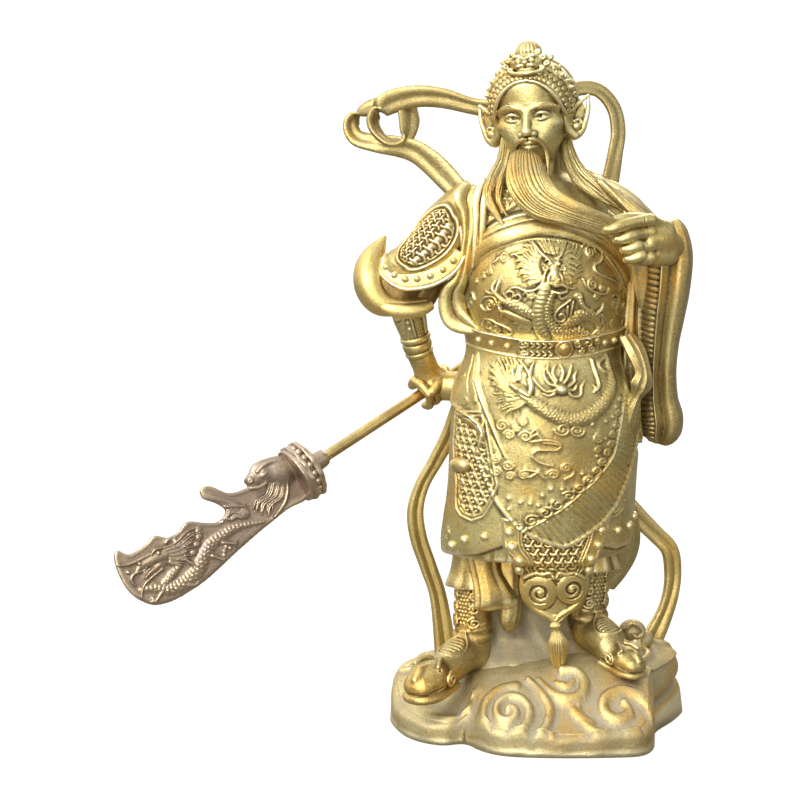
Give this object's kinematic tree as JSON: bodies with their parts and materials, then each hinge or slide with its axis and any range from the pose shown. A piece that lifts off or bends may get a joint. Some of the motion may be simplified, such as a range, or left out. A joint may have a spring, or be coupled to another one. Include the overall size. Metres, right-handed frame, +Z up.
{
  "type": "guan yu statue",
  "caption": "Cast brass warrior standing on a cloud plinth, one hand on a long flowing beard, the other on a glaive held low, with floating ribbons.",
  "frame": {"origin": "middle of the plinth's flat underside, under the figure", "axes": "+Z up along the figure's height; the figure faces -Y; +X is to the right of a viewer who faces it"},
  "size_m": [0.331, 0.1445, 0.4],
  "materials": {
    "cast_brass": "satin casting with dark dust in its hollows and rubbed high spots",
    "shaft_brass": "drawn rod, dulled and browned by handling",
    "blade_brass": "satin casting, rosy brown towards the tip"
  },
  "bodies": {
    "root": {"figure_on_cloud_plinth": "cast_brass", "glaive_shaft": "shaft_brass", "glaive_blade": "blade_brass"}
  },
  "joints": []
}
